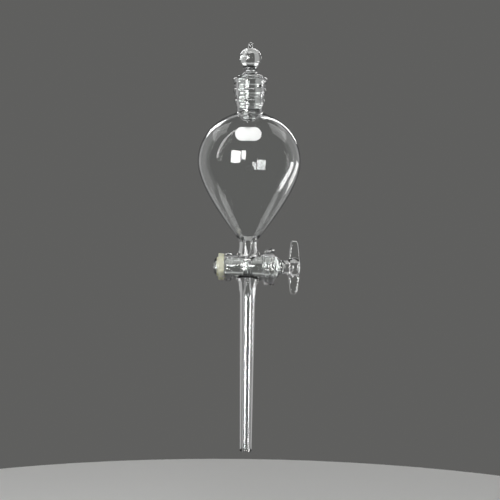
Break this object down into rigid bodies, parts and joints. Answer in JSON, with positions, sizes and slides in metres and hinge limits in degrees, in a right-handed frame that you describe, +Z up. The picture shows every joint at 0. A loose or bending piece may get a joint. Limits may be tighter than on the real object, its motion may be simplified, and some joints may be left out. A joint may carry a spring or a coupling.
{
  "type": "separatory funnel",
  "caption": "Pear-shaped glass separatory funnel with a vented ground stopper, a plug stopcock with a T handle and a long stem, for drawing off the lower of two liquid layers.",
  "frame": {"origin": "centre of the circle on which a support ring carries the pear, 30 mm in radius, on the funnel's axis", "axes": "+Z up the funnel's axis towards the stopper, +X along the stopcock plug towards its T handle, -Y the side with the writing patch"},
  "size_m": [0.0774, 0.0768, 0.3094],
  "materials": {
    "vessel_glass": "clear fire-polished borosilicate glass",
    "stopper_glass": "clear blown glass with a finely ground cone",
    "plug_glass": "clear glass with a finely ground, greased cone",
    "ring_rubber": "smooth pale cream rubber",
    "patch_enamel": "fired white enamel, slightly matt"
  },
  "bodies": {
    "vessel": {"pear_bulb": "vessel_glass", "neck_socket": "vessel_glass", "stopcock_barrel": "vessel_glass", "drip_stem": "vessel_glass", "writing_patch": "patch_enamel"},
    "stopper": {"stopper_cone": "stopper_glass", "stopper_ball": "stopper_glass"},
    "plug": {"plug_cone": "plug_glass", "plug_handle": "plug_glass"},
    "ring": {"retaining_ring": "ring_rubber"}
  },
  "joints": [
    {"name": "stopper_lift", "type": "slide", "parent": "vessel", "child": "stopper", "axis": [0, 0, 1], "range_m": [0, 0.06]},
    {"name": "cock_turn", "type": "hinge", "parent": "vessel", "child": "plug", "pos_m": [0, 0, -0.05358], "axis": [1, 0, 0], "continuous": true},
    {"name": "ring_off", "type": "slide", "parent": "plug", "child": "ring", "axis": [-1, 0, 0], "range_m": [0, 0.012]}
  ]
}
